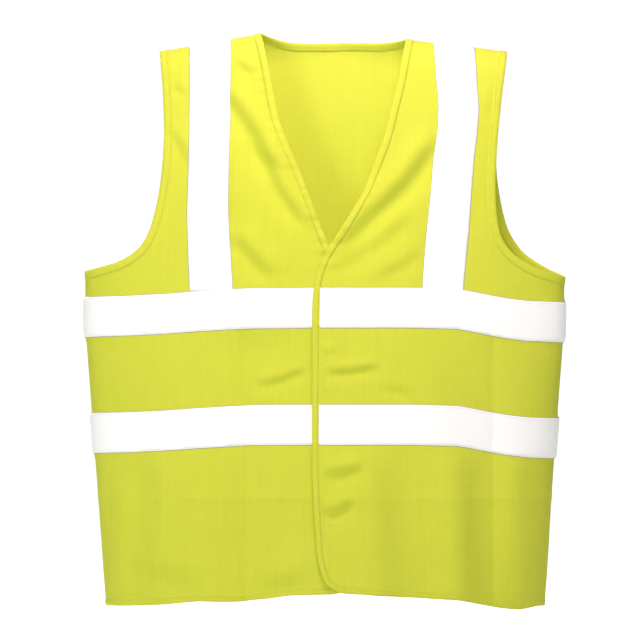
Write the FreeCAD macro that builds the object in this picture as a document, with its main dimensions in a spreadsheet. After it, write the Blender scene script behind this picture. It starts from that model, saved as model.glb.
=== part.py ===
import FreeCAD, Part
import math
import os

import Sketcher
from FreeCAD import Placement, Rotation, Vector

# High visibility vest, hung as it is worn: a back, two overlapping fronts, two
# reflective bands round the body, two braces over the shoulders and a folded
# binding on every free edge.
#
# Frame: X to the wearer's left, -Y to the front, +Z up.  The origin is the point
# midway between the two places where the neckline crosses the shoulder line.
# The cloth follows half ellipses: wide and flat at the shoulders, rounder at the
# hem.  Every layer of cloth is the space between two such forms.

doc = FreeCAD.newDocument("high_visibility_vest")
sheet = doc.addObject("Spreadsheet::Sheet", "dims")

DIMENSIONS = [
    # the form that the cloth follows
    ("half_chest", 302, "half width at the base of the armholes"),
    ("half_hem", 272, "half width at the hem"),
    ("depth_ridge", 4, "front to centre along the shoulder line"),
    ("depth_crown", 13, "front to centre just below the shoulder line"),
    ("depth_round", 23, "front to centre where the shoulder turns down"),
    ("depth_yoke", 32, "front to centre where the front hangs straight"),
    ("depth_chest", 61, "front to centre at the base of the armholes"),
    ("depth_hem", 116, "front to centre at the hem"),
    ("drop_crown", 4, "below the shoulder line"),
    ("drop_round", 14, "below the shoulder line"),
    ("drop_yoke", 40, "below the shoulder line"),
    ("drop_chest", 300, "below the neck points"),
    ("drop_hem", 716, "below the neck points, at the sides"),
    ("shoulder_slope", 8.13, "degrees"),
    ("under_inset", 6, "how far the under front lies inside the over front"),
    ("crown_inset", 0.3, "share of that inset reached just below the shoulder line"),
    ("round_inset", 0.6, "share of that inset reached where the shoulder turns down"),
    # cloth
    ("ply", 1.2, "main cloth"),
    ("skin", 0.6, "tape and binding, each on its own side of the cloth"),
    ("pad", 1.9, "hook or loop tab"),
    ("allowance", 2, "seam allowance, two plies turned inwards"),
    ("margin", 40, "how far cutting tools reach past the cloth"),
    # neckline and front edges
    ("neck_half", 92, "neck point to centre"),
    ("back_neck_dip", 9, "back neckline below the neck points"),
    ("neck_via_half", 74, "point on the upper neck edge"),
    ("neck_via_drop", 85, "point on the upper neck edge"),
    ("neck_bend_half", 44, "where the neck edge turns towards the middle"),
    ("neck_bend_drop", 186, "where the neck edge turns towards the middle"),
    ("neck_low_half", 12, "point on the lower neck edge"),
    ("neck_low_drop", 246, "point on the lower neck edge"),
    ("over_lap", 15, "over front past the middle"),
    ("under_lap", 30, "under front past the middle"),
    ("lap_drop", 312, "where the neck edge has become the front edge"),
    ("corner", 40, "radius of the lower front corner"),
    # armholes
    ("tip_half", 218, "shoulder tip to centre"),
    ("tip_drop", 18, "shoulder tip below the neck points"),
    ("arm_via_half", 208, "narrowest part of the shoulder strap"),
    ("arm_via_drop", 120, "narrowest part of the shoulder strap"),
    ("arm_bend_half", 214, "where the armhole turns outwards"),
    ("arm_bend_drop", 206, "where the back armhole turns outwards"),
    ("arm_low_half", 241, "point on the lower armhole"),
    ("arm_low_drop", 268, "point on the lower back armhole"),
    ("front_scoop", 13, "front armhole lower than the back one"),
    # reflective tape
    ("tape", 50, "width of all the tape"),
    ("upper_drop", 315, "top of the upper band at the front"),
    ("lower_drop", 461, "top of the lower band at the front"),
    ("sag_start", 150, "the bands are level up to here"),
    ("sag_mid", 215, "the bands turn down past here"),
    ("sag_mid_drop", 5, "sag of a band there"),
    ("sag", 13, "sag of the bands and the hem at the side seams"),
    ("brace_mid", 151, "middle of each brace"),
    # trims
    ("binding", 10, "width of the binding seen on each face"),
    ("seam", 12, "width of a seam"),
    ("tab_tall", 40, "hook and loop tabs"),
    ("tab_wide", 22, "hook and loop tabs"),
    ("tab_clear", 2, "tab to binding"),
    ("tab_count", 4, "hook tabs, and as many loop tabs"),
    ("top_tab_drop", 340, "middle of the top tab"),
    ("tab_pitch", 84, "tab to tab"),
    ("label_wide", 32, "care label"),
    ("label_tall", 60, "care label"),
    ("label_drop", 600, "top of the care label"),
    ("label_thick", 0.5, "care label"),
    # fold lines that the fronts open about
    ("fold_top", 101, "fold to centre at the yoke"),
    ("fold_low", 140, "fold to centre at the hem"),
    ("fold_gap", 1.5, "cloth to fold line on each side"),
]


class Size:
    """A length as the sheet gives it: its formula and its value."""

    def __init__(self, text, value):
        self.text = text
        self.value = value

    def join(self, sign, other, value):
        return Size("(%s %s %s)" % (self.text, sign, other.text), value)

    def __add__(self, other):
        other = size(other)
        return self.join("+", other, self.value + other.value)

    def __sub__(self, other):
        other = size(other)
        return self.join("-", other, self.value - other.value)

    def __mul__(self, other):
        other = size(other)
        return self.join("*", other, self.value * other.value)

    def __truediv__(self, other):
        other = size(other)
        return self.join("/", other, self.value / other.value)

    def __neg__(self):
        return Size("(-1 * %s)" % self.text, -self.value)


def size(value):
    if isinstance(value, Size):
        return value
    return Size("%g" % value, float(value))


class Dims:
    pass


dims = Dims()
for row, (alias, value, meaning) in enumerate(DIMENSIONS, start=1):
    sheet.set("A%d" % row, alias)
    sheet.set("B%d" % row, "%g" % value)
    sheet.set("C%d" % row, meaning)
    sheet.setAlias("B%d" % row, alias)
    setattr(dims, alias, Size("dims.%s" % alias, float(value)))
doc.recompute()

NONE = size(0)
FULL = size(1)
TOUCHING = 1e-6
ridge_height = Size(
    "(dims.neck_half * tan(dims.shoulder_slope))",
    dims.neck_half.value * math.tan(math.radians(dims.shoulder_slope.value)),
)
# one more form below the hem, so that the hem can be cut to shape
below_hem = dims.drop_hem + dims.margin
reach = (dims.drop_hem + dims.margin - dims.drop_chest) / (dims.drop_hem - dims.drop_chest)
half_below = dims.half_chest + (dims.half_hem - dims.half_chest) * reach
depth_below = dims.depth_chest + (dims.depth_hem - dims.depth_chest) * reach
far = dims.half_chest + dims.margin


def bind(thing, path, length):
    thing.setExpression(path, size(length).text)


# ---------------------------------------------------------------- the forms

STATIONS = [
    # name, height on the middle line, half width, depth, share of lean, share of inset
    ("ridge", ridge_height, dims.half_chest, dims.depth_ridge, FULL, NONE),
    ("crown", ridge_height - dims.drop_crown, dims.half_chest, dims.depth_crown, FULL, dims.crown_inset),
    ("round", ridge_height - dims.drop_round, dims.half_chest, dims.depth_round, FULL, dims.round_inset),
    ("yoke", ridge_height - dims.drop_yoke, dims.half_chest, dims.depth_yoke, FULL, FULL),
    ("chest", -dims.drop_chest, dims.half_chest, dims.depth_chest, NONE, FULL),
    ("hem", -below_hem, half_below, depth_below, NONE, FULL),
]


def form(name, side, inset, offset):
    """Closed form of elliptical sections that lean with the shoulder on one side."""
    sections = []
    for station, height, half_width, depth, lean, share in STATIONS:
        ring = doc.addObject("Part::Ellipse", "%s_%s" % (name, station))
        bind(ring, "MajorRadius", half_width + offset)
        bind(ring, "MinorRadius", depth + offset - inset * share)
        lift = offset if station == "ridge" else NONE
        ring.Placement = Placement(Vector(0, 0, 0), Rotation(Vector(0, side, 0), 1))
        bind(ring, "Placement.Base.z", height + lift)
        bind(ring, "Placement.Rotation.Angle", dims.shoulder_slope * lean)
        sections.append(ring)
    loft = doc.addObject("Part::Loft", name)
    loft.Sections = sections
    loft.Solid = True
    loft.Ruled = True
    return loft


LEVELS = {
    "allowance": -dims.allowance,
    "lining": -dims.skin,
    "label": -dims.label_thick,
    "tab_inside": -dims.pad,
    "inside": NONE,
    "outside": dims.ply,
    "skin": dims.ply + dims.skin,
    "tab_outside": dims.ply + dims.pad,
}
SHEETS = {
    # name: inner level, outer level
    "cloth": ("inside", "outside"),
    "trim": ("outside", "skin"),
    "wrap": ("lining", "skin"),
    "turning": ("allowance", "inside"),
    "care": ("label", "inside"),
    "hook": ("tab_inside", "inside"),
    "loop": ("outside", "tab_outside"),
}
STACKS = {
    # name: side that leans, how far the cloth lies inwards
    "left": (1, NONE),
    "right": (-1, NONE),
    "under": (-1, dims.under_inset),
}
forms = {}
shells = {}


def form_at(stack, level):
    key = (stack, level)
    if key not in forms:
        side, inset = STACKS[stack]
        forms[key] = form("form_%s_%s" % key, side, inset, LEVELS[level])
    return forms[key]


def shell(stack, kind):
    """Closed layer of cloth between two forms."""
    key = (stack, kind)
    if key not in shells:
        inner, outer = SHEETS[kind]
        layer = doc.addObject("Part::Cut", "layer_%s_%s" % key)
        layer.Base = form_at(stack, outer)
        layer.Tool = form_at(stack, inner)
        shells[key] = layer
    return shells[key]


# ------------------------------------------------------------ cutting tools

def box(name, x_low, x_high, y_low, y_high, z_low, z_high):
    block = doc.addObject("Part::Box", name)
    bind(block, "Placement.Base.x", x_low)
    bind(block, "Placement.Base.y", y_low)
    bind(block, "Placement.Base.z", z_low)
    bind(block, "Length", x_high - x_low)
    bind(block, "Width", y_high - y_low)
    bind(block, "Height", z_high - z_low)
    return block


ORIGIN = (-1, 1)


def pin_point(sketch, place, x, z):
    """Fix a sketch point by its two distances from the origin."""
    for kind, length in (("DistanceX", x), ("DistanceY", z)):
        length = size(length)
        at = sketch.addConstraint(
            Sketcher.Constraint(kind, ORIGIN[0], ORIGIN[1], place[0], place[1], length.value)
        )
        sketch.setExpression("Constraints[%d]" % at, length.text)


def outline(name, corners):
    """Body with one closed outline in the XZ plane.

    Each corner is (x, z) or (x, z, via x, via z); with a via point the edge that
    leaves the corner is an arc through it, and otherwise a straight line.
    """
    body = doc.addObject("PartDesign::Body", name)
    plane = [f for f in body.Origin.OriginFeatures if f.Role == "XZ_Plane"][0]
    sketch = body.newObject("Sketcher::SketchObject", name + "_outline")
    sketch.AttachmentSupport = (plane, [""])
    sketch.MapMode = "FlatFace"
    count = len(corners)
    starts = []
    for index, corner in enumerate(corners):
        after = corners[(index + 1) % count]
        start = Vector(size(corner[0]).value, size(corner[1]).value, 0)
        end = Vector(size(after[0]).value, size(after[1]).value, 0)
        if len(corner) == 2:
            edge = sketch.addGeometry(Part.LineSegment(start, end))
            starts.append((edge, 1, 2))
            continue
        via = Vector(size(corner[2]).value, size(corner[3]).value, 0)
        arc = Part.Arc(start, via, end)
        edge = sketch.addGeometry(arc)
        reversed_arc = (sketch.getPoint(edge, 1) - start).Length > TOUCHING
        starts.append((edge, 2, 1) if reversed_arc else (edge, 1, 2))
        on_arc = sketch.addGeometry(Part.Point(via), True)
        pin_point(sketch, (on_arc, 1), corner[2], corner[3])
        sketch.addConstraint(Sketcher.Constraint("PointOnObject", on_arc, 1, edge))
    for index, corner in enumerate(corners):
        edge, first, last = starts[index]
        next_edge, next_first, next_last = starts[(index + 1) % count]
        pin_point(sketch, (edge, first), corner[0], corner[1])
        sketch.addConstraint(Sketcher.Constraint("Coincident", edge, last, next_edge, next_first))
    return body, sketch


def slab(name, corners, front):
    """Outline run through the front half (or the back half) of the garment."""
    body, sketch = outline(name, corners)
    pad = body.newObject("PartDesign::Pad", name + "_pad")
    pad.Profile = sketch
    bind(pad, "Length", far)
    doc.recompute()
    middle = pad.Shape.BoundBox.Center.y
    pad.Reversed = (middle < 0) != front
    return body, sketch


def grown(name, sketch, width, front):
    """The same outline, larger all round by a width."""
    wider = doc.addObject("Part::Offset2D", name + "_edge")
    wider.Source = sketch
    wider.Join = "Arc"
    bind(wider, "Value", width)
    block = doc.addObject("Part::Extrusion", name)
    block.Base = wider
    block.DirMode = "Custom"
    block.Dir = Vector(0, -1 if front else 1, 0)
    block.Solid = True
    bind(block, "LengthFwd", far)
    return block


def mirror(name, source):
    twin = doc.addObject("Part::Mirroring", name)
    twin.Source = source
    twin.Normal = Vector(1, 0, 0)
    return twin


def common(name, shapes):
    joined = doc.addObject("Part::MultiCommon", name)
    joined.Shapes = shapes
    return joined


def fuse(name, shapes):
    joined = doc.addObject("Part::MultiFuse", name)
    joined.Shapes = shapes
    return joined


def cut(name, base, tool):
    rest = doc.addObject("Part::Cut", name)
    rest.Base = base
    rest.Tool = tool
    return rest


top = dims.margin
level_hem = -dims.drop_hem + dims.sag


def opening_corners(lap):
    """Everything beyond the neck edge, the front edge, its corner and the hem."""
    # from the square corner to the middle of its arc, along X and along Z
    quarter = dims.corner * (1 - math.sqrt(0.5))
    return [
        (dims.neck_half, NONE, dims.neck_via_half, -dims.neck_via_drop),
        (dims.neck_bend_half, -dims.neck_bend_drop, dims.neck_low_half, -dims.neck_low_drop),
        (-lap, -dims.lap_drop),
        (-lap, level_hem + dims.corner, quarter - lap, level_hem + quarter),
        (dims.corner - lap, level_hem),
        (dims.sag_start, level_hem, dims.sag_mid, level_hem - dims.sag_mid_drop),
        (dims.half_hem, level_hem - dims.sag),
        (far, level_hem - dims.sag),
        (far, -below_hem - dims.margin),
        (-far, -below_hem - dims.margin),
        (-far, top),
        (dims.neck_half, top),
    ]


def armhole_corners(scoop):
    return [
        (dims.tip_half, -dims.tip_drop, dims.arm_via_half, -dims.arm_via_drop),
        (dims.arm_bend_half, -dims.arm_bend_drop - scoop,
         dims.arm_low_half, -dims.arm_low_drop - scoop),
        (dims.half_chest, -dims.drop_chest - scoop),
        (far, -dims.drop_chest - scoop),
        (far, top),
        (dims.tip_half, top),
    ]


def back_neck_corners():
    return [
        (-dims.neck_half, NONE, NONE, -dims.back_neck_dip),
        (dims.neck_half, NONE),
        (dims.neck_half, top),
        (-dims.neck_half, top),
    ]


def back_hem_corners():
    return [
        (-dims.half_hem, -dims.drop_hem, -dims.sag_mid, level_hem - dims.sag_mid_drop),
        (-dims.sag_start, level_hem),
        (dims.sag_start, level_hem, dims.sag_mid, level_hem - dims.sag_mid_drop),
        (dims.half_hem, -dims.drop_hem),
        (far, -dims.drop_hem),
        (far, -below_hem - dims.margin),
        (-far, -below_hem - dims.margin),
        (-far, -dims.drop_hem),
    ]


def band_corners(drop, inner):
    """Tape from x = inner to past the side seam, sagging towards the side."""
    low = drop + dims.tape
    return [
        (inner, -drop),
        (dims.sag_start, -drop, dims.sag_mid, -drop - dims.sag_mid_drop),
        (dims.half_chest, -drop - dims.sag),
        (far, -drop - dims.sag),
        (far, -low - dims.sag),
        (dims.half_chest, -low - dims.sag, dims.sag_mid, -low - dims.sag_mid_drop),
        (dims.sag_start, -low),
        (inner, -low),
    ]


def fold_corners(gap):
    """The part of a front that opens: inboard of the fold line, below the yoke."""
    slope = (dims.fold_low - dims.fold_top) / (dims.drop_hem - dims.drop_yoke)
    low = dims.fold_low + slope * dims.margin
    return [
        (-far, -dims.drop_yoke + gap),
        (dims.fold_top + gap, -dims.drop_yoke + gap),
        (low + gap, -below_hem),
        (-far, -below_hem),
    ]


class Opening:
    """A free edge: where the binding ends, where the cloth ends, how far the binding covers."""

    def __init__(self, name, corners, front):
        self.edge, sketch = slab(name, corners, front)
        self.cloth = grown(name + "_cloth", sketch, dims.skin, front)
        self.cover = grown(name + "_cover", sketch, dims.binding, front)

    def mirrored(self):
        twin = Opening.__new__(Opening)
        for part in ("edge", "cloth", "cover"):
            source = getattr(self, part)
            setattr(twin, part, mirror("right_" + source.Name, source))
        return twin


over_opening = Opening("over_opening", opening_corners(dims.over_lap), True)
under_opening = Opening("under_opening", opening_corners(dims.under_lap), True).mirrored()
front_armhole = {"left": Opening("front_armhole", armhole_corners(dims.front_scoop), True)}
back_armhole = {"left": Opening("back_armhole", armhole_corners(NONE), False)}
back_neck = Opening("back_neck", back_neck_corners(), False)
back_hem = Opening("back_hem", back_hem_corners(), False)
opens = {"left": slab("opens", fold_corners(-dims.fold_gap), True)[0]}
stays = {"left": slab("stays", fold_corners(dims.fold_gap), True)[0]}
bands = {}
for name, drop in (("upper", dims.upper_drop), ("lower", dims.lower_drop)):
    bands[name, "front", "left"] = slab(name + "_front", band_corners(drop, -dims.margin), True)[0]
    bands[name, "back", "left"] = slab(name + "_back", band_corners(drop, NONE), False)[0]
for name, where, side in list(bands):
    source = bands[name, where, side]
    bands[name, where, "right"] = mirror("right_" + source.Name, source)
for tools in (front_armhole, back_armhole):
    tools["right"] = tools["left"].mirrored()
for tools in (opens, stays):
    tools["right"] = mirror("right_" + tools["left"].Name, tools["left"])


# ----------------------------------------------------------------- the pieces

SIDES = {"left": 1, "right": -1}
FRONT_STACK = {"left": "left", "right": "under"}
FRONT_OPENING = {"left": over_opening, "right": under_opening}
pieces = []


def keep(node, thing):
    thing.Label = node
    pieces.append(thing)
    return thing


def side_box(name, side, x_low, x_high, y_low, y_high, z_low, z_high):
    """Box given for the wearer's left; the right one is its mirror image."""
    if SIDES[side] < 0:
        x_low, x_high = -x_high, -x_low
    return box(name, x_low, x_high, y_low, y_high, z_low, z_high)


def front_block(name, side):
    lap = {"left": dims.over_lap, "right": dims.under_lap}[side]
    return side_box(name, side, -lap, far, -far, NONE, -below_hem, top)


def back_block(name, side):
    return side_box(name, side, NONE, far, NONE, far, -below_hem, top)


def front_layer(kind, side):
    name = "%s_front_%s" % (side, kind)
    layer = shell(FRONT_STACK[side], kind)
    return common(name, [layer, front_block(name + "_block", side)])


def back_layer(kind):
    halves = []
    for side in SIDES:
        name = "back_%s_%s" % (side, kind)
        halves.append(common(name, [shell(side, kind), back_block(name + "_block", side)]))
    return fuse("back_" + kind, halves)


def cut_all(name, base, tools):
    if len(tools) == 1:
        return cut(name, base, tools[0])
    return cut(name, base, fuse(name + "_tools", tools))


# closing tabs: hooks inside the over front, loops on the outside of the under front
def tabs(node, layer):
    """Rectangles of one layer, one above the other."""
    blocks = []
    for index in range(int(dims.tab_count.value)):
        middle = -dims.top_tab_drop - dims.tab_pitch * index
        blocks.append(box(
            "%s_%d" % (node, index + 1),
            -dims.over_lap + dims.binding + dims.tab_clear,
            -dims.over_lap + dims.binding + dims.tab_clear + dims.tab_wide,
            -far, NONE,
            middle - dims.tab_tall / 2, middle + dims.tab_tall / 2,
        ))
    return keep(node, common(node, [layer, fuse(node + "_blocks", blocks)]))


hook_tabs = tabs("hook_tabs", shell("left", "hook"))
loop_tabs = tabs("loop_tabs", shell("under", "loop"))

# fronts: each is one cloth with its tapes, divided along its fold line
neck_ends = []
around_arms = {}
for side in SIDES:
    front = side + "_front"
    opening = FRONT_OPENING[side]
    armhole = front_armhole[side]
    cloth = cut_all(front + "_cut", front_layer("cloth", side), [opening.cloth, armhole.cloth])
    keep(front + "_side", cut(front + "_side", cloth, stays[side]))
    keep(front + "_flap", common(front + "_flap", [cloth, opens[side]]))

    wrap = front_layer("wrap", side)
    edging = cut_all(
        front + "_edging",
        common(front + "_edging_reach", [wrap, opening.cover]),
        [opening.edge, armhole.edge, armhole.cover, cloth],
    )
    keep(front + "_binding", common(front + "_binding", [edging, opens[side]]))
    fixed_edging = cut(front + "_fixed_edging", edging, stays[side])
    low_block = side_box(front + "_low", side, NONE, far, -far, NONE, -below_hem, -dims.lap_drop)
    high_block = side_box(front + "_high", side, NONE, far, -far, NONE, -dims.lap_drop, top)
    hem = side + "_front_hem_binding"
    keep(hem, common(hem, [fixed_edging, low_block]))
    neck_ends.append(common(front + "_neck_end", [fixed_edging, high_block]))
    around_arms[side] = cut_all(
        front + "_around_arm",
        common(front + "_arm_reach", [wrap, armhole.cover]),
        [armhole.edge, cloth],
    )

    tape = front_layer("trim", side)
    for level in ("upper", "lower"):
        band = "%s_%s_band" % (front, level)
        band_tools = [opening.cover] if side == "left" else [opening.cover, loop_tabs]
        band_reach = common(band + "_reach", [tape, bands[level, "front", side]])
        strip = cut_all(band, band_reach, band_tools)
        keep(band + "_side", cut(band + "_side", strip, stays[side]))
        keep(band + "_flap", common(band + "_flap", [strip, opens[side]]))

# the back: one cloth from side seam to side seam
back_tools = [back_neck.cloth, back_hem.cloth, back_armhole["left"].cloth, back_armhole["right"].cloth]
back_panel = keep("back_panel", cut_all("back_panel", back_layer("cloth"), back_tools))
back_wrap = back_layer("wrap")
back_tape = back_layer("trim")
for level in ("upper", "lower"):
    both = fuse(level + "_back_band", [bands[level, "back", side] for side in SIDES])
    node = "back_%s_band" % level
    keep(node, common(node, [back_tape, both]))
node = "back_hem_binding"
hem_reach = common("back_hem_reach", [back_wrap, back_hem.cover])
keep(node, cut_all(node, hem_reach, [back_hem.edge, back_panel]))

# neck binding: the back neckline and both ends that run down to the fold lines
# the back part is a little narrower than the ends, so that they meet at a clear step
arm_covers = [back_armhole[side].cover for side in SIDES]
neck_end = dims.neck_half + dims.binding - dims.skin
neck_block = box("back_neck_block", -neck_end, neck_end, NONE, far, -dims.drop_yoke, top)
neck_reach = common("back_neck_reach", [back_wrap, back_neck.cover, neck_block])
neck_back = cut_all("back_neck_edging", neck_reach, [back_neck.edge, back_panel] + arm_covers)
keep("neck_binding", fuse("neck_binding", [neck_back] + neck_ends))

# armhole bindings: each runs all round its armhole and over the shoulder
for side in SIDES:
    node = side + "_armhole_binding"
    arm_reach = common("back_%s_arm_reach" % side, [back_wrap, back_armhole[side].cover])
    arm_back = cut_all("back_%s_around_arm" % side, arm_reach, [back_armhole[side].edge, back_panel])
    keep(node, fuse(node, [around_arms[side], arm_back]))

# braces, front and back, from the shoulder seam to the upper band
half_seam = dims.seam / 2
for side in SIDES:
    for where, layer in (("front", front_layer("trim", side)), ("back", back_tape)):
        node = "%s_%s_brace" % (side, where)
        y_low, y_high = (-far, -half_seam) if where == "front" else (half_seam, far)
        block = side_box(
            node + "_block", side,
            dims.brace_mid - dims.tape / 2, dims.brace_mid + dims.tape / 2,
            y_low, y_high, -dims.upper_drop - dims.binding, top,
        )
        keep(node, cut(node, common(node + "_reach", [layer, block]), bands["upper", where, side]))

# seams: tape over each shoulder seam, turned-in allowance down each side seam
for side in SIDES:
    node = side + "_shoulder_seam"
    across = []
    for where, y_low, y_high in (("front", -half_seam, NONE), ("back", NONE, half_seam)):
        stack = FRONT_STACK[side] if where == "front" else side
        block = side_box(
            "%s_%s_block" % (node, where), side,
            dims.neck_half + dims.binding, dims.tip_half - dims.binding,
            y_low, y_high, -dims.drop_yoke, top,
        )
        across.append(common("%s_%s" % (node, where), [shell(stack, "trim"), block]))
    keep(node, fuse(node, across))

    node = side + "_side_seam"
    down = []
    for where, y_low, y_high in (("front", -half_seam, NONE), ("back", NONE, half_seam)):
        stack = FRONT_STACK[side] if where == "front" else side
        block = side_box(
            "%s_%s_block" % (node, where), side, dims.sag_mid, far, y_low, y_high,
            -dims.drop_hem + dims.binding + dims.tab_clear,
            -dims.drop_chest - dims.front_scoop - dims.binding - dims.tab_clear,
        )
        down.append(common("%s_%s" % (node, where), [shell(stack, "turning"), block]))
    keep(node, fuse(node, down))

# blank care label, sewn inside the left part of the back near the side seam
label_block = box(
    "label_block",
    dims.half_hem - dims.seam - dims.label_wide, dims.half_hem - dims.seam,
    half_seam + dims.tab_clear, far,
    -dims.label_drop - dims.label_tall, -dims.label_drop,
)
keep("care_label", common("care_label", [shell("left", "care"), label_block]))


# ------------------------------------------------------- checks and the files

doc.recompute()
for thing in doc.Objects:
    if "Invalid" in thing.State or "Error" in thing.State:
        raise RuntimeError("%s did not recompute: %s" % (thing.Label, thing.State))
for piece in pieces:
    if piece.Shape.isNull() or not piece.Shape.isValid() or not piece.Shape.Solids:
        raise RuntimeError("%s has no sound solid" % piece.Label)

os.makedirs("parts", exist_ok=True)
for piece in pieces:
    shape = piece.Shape
    shape.exportStep("parts/%s.step" % piece.Label)
    print("%-32s %2d solid(s) %9.0f mm3" % (piece.Label, len(shape.Solids), shape.Volume))
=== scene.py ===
import math

import bmesh
import bpy
import numpy as np
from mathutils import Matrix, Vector
from mathutils.geometry import delaunay_2d_cdt


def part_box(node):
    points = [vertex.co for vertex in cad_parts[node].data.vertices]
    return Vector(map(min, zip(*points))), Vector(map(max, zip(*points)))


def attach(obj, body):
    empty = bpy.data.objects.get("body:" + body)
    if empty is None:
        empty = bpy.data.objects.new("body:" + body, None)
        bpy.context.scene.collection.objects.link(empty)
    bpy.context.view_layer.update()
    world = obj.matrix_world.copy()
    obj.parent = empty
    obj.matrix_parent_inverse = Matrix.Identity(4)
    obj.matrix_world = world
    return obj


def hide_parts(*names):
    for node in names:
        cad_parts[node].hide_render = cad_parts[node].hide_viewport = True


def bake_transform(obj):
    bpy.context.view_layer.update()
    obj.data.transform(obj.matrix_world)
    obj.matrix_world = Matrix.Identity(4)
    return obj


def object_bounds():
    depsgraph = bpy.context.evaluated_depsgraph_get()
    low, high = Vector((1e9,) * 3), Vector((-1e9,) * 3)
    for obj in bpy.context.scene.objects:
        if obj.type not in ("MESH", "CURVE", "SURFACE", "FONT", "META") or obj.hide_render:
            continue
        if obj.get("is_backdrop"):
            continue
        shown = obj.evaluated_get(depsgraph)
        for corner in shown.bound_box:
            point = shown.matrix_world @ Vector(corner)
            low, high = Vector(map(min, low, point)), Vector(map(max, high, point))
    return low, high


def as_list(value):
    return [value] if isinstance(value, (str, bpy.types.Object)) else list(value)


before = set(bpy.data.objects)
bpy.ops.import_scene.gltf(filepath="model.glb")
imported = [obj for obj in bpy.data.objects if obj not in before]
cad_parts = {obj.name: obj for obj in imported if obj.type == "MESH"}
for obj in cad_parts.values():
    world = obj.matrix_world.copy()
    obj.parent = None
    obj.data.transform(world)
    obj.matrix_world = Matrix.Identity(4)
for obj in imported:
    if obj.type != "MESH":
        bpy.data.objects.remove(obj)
cad_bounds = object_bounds()
scene = bpy.context.scene

# ===== the form
# The cloth lies on half ellipses, front and back. "drop" is how far a section
# lies below the shoulder ridge, measured on the middle line. Near the top the
# sections lean with the shoulders. Lengths are in metres, but the tables and
# the places of the tapes and the hem are in millimetres, as hung.

MM = 0.001
PLY = 1.2 * MM  # the CAD cloth, in which the thinner real cloth lies
back_low, back_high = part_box("back_panel")
HALF_CHEST = back_high.x - PLY
HEM_Z = back_low.z
SLOPE = math.tan(math.radians(8.13))
NECK_HALF = 92 * MM
RIDGE = NECK_HALF * SLOPE
YOKE = 40 * MM  # the drop over which the shoulders round off
CHEST_Z = -300 * MM
CHEST = RIDGE - CHEST_Z
YOKE_TO_CHEST = CHEST - YOKE
TAPER, TAPER_BEND, TAPER_OFFSET = 0.0745, 0.012, 0.0002
ROUND_DEPTH = 28.5 * MM
UPPER_SPREAD, LOWER_SPREAD = 0.1035, 0.132  # depth gained for each metre of drop
MIN_DEPTH = 0.004
UNDER_INSET = 6 * MM  # the right front lies under the left one
SCALE_S = 0.3
LEAN_X, LEAN_REACH, LEAN_POWER = 11 * MM, 0.32, 0.8
SHOULDER_FADE = 0.03
SIDE_FILL, SIDE_FILL_RUN = 3.6 * MM, 0.08
TAPE_BULGE, BULGE_REACH, BULGE_FADE = 1.3 * MM, 5 * MM, 8 * MM
UPPER_TOP = 315
LOWER_TOP = 461
TAPE = 50
SIDE_SAG = 15
HEM_MIDDLE = 698
# how far the shoulders and the back neckline sit off the straight line: (x, rise)
RISE = [(-225, 0), (-80, 5), (-60, 2.5), (-40, 1.25), (0, 3), (25, 3.75), (50, 2.5),
        (70, 0), (100, -2.5), (130, -2), (190, 0), (225, 0)]
RISE_REACH = 110 * MM


def smooth(t):
    t = np.clip(t, 0, 1)
    return t * t * (3 - 2 * t)


def unit(vectors):
    return vectors / np.maximum(np.linalg.norm(vectors, axis=-1, keepdims=True), 1e-12)


def run_along(points):
    """Length along a line of points, from 0 at its start."""
    return np.concatenate([[0], np.cumsum(np.linalg.norm(np.diff(points, axis=0), axis=1))])


def columns(*parts):
    """Points from their coordinates, each a row of numbers or one number for all."""
    return np.stack(np.broadcast_arrays(*parts), 1)


def look_up(table, at):
    """The value at a place in metres, from a table of (place, value) in millimetres."""
    table = np.array(table, float) * MM
    return np.interp(at, table[:, 0], table[:, 1])


def depth_at(drop):
    top = np.clip(drop, 0, YOKE) / YOKE
    shoulder = ROUND_DEPTH * np.sqrt(np.clip(1 - (1 - top) ** 2, 0, 1))
    lower = np.maximum(drop - CHEST, 0)
    return shoulder + UPPER_SPREAD * drop + (LOWER_SPREAD - UPPER_SPREAD) * lower


def half_width_at(drop):
    """Half width of a section; the stiff tapes hold the sides out a little."""
    lower = drop - CHEST
    bend = np.sqrt(lower * lower + TAPER_BEND ** 2)
    width = HALF_CHEST - TAPER * 0.5 * (lower + bend - TAPER_OFFSET)
    width = width + SIDE_FILL * smooth(lower / SIDE_FILL_RUN)
    for top in (UPPER_TOP, LOWER_TOP):
        middle = RIDGE + (top + SIDE_SAG + TAPE / 2) * MM
        within = TAPE / 2 * MM + BULGE_REACH - np.abs(drop - middle)
        width = width + TAPE_BULGE * smooth(within / BULGE_FADE)
    return width


def height_at(drop, x):
    fall = np.abs(x) * SLOPE
    share = np.clip(1 - (drop - YOKE) / YOKE_TO_CHEST, 0, 1)
    above = RIDGE - drop - fall
    middle = CHEST_Z + share * (YOKE_TO_CHEST - fall)
    below = CHEST_Z - (drop - CHEST)
    return np.where(drop <= YOKE, above, np.where(drop <= CHEST, middle, below))


def drop_from(x, z):
    fall = np.abs(x) * SLOPE
    above = RIDGE - fall - z
    share = (z - CHEST_Z) / (YOKE_TO_CHEST - fall)
    middle = YOKE + (1 - share) * YOKE_TO_CHEST
    below = CHEST + (CHEST_Z - z)
    return np.where(above <= YOKE, np.maximum(above, 0), np.where(z > CHEST_Z, middle, below))


def profile_table():
    turn = YOKE * (1 - np.cos(np.linspace(0, math.pi / 2, 60)))
    drops = np.concatenate([turn, np.linspace(YOKE, 0.85, 300)[1:]])
    depths = depth_at(drops)
    steps = np.hypot(np.diff(drops), np.diff(depths))
    return drops, np.concatenate([[0], np.cumsum(steps)])


DROPS, RUNS = profile_table()


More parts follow.
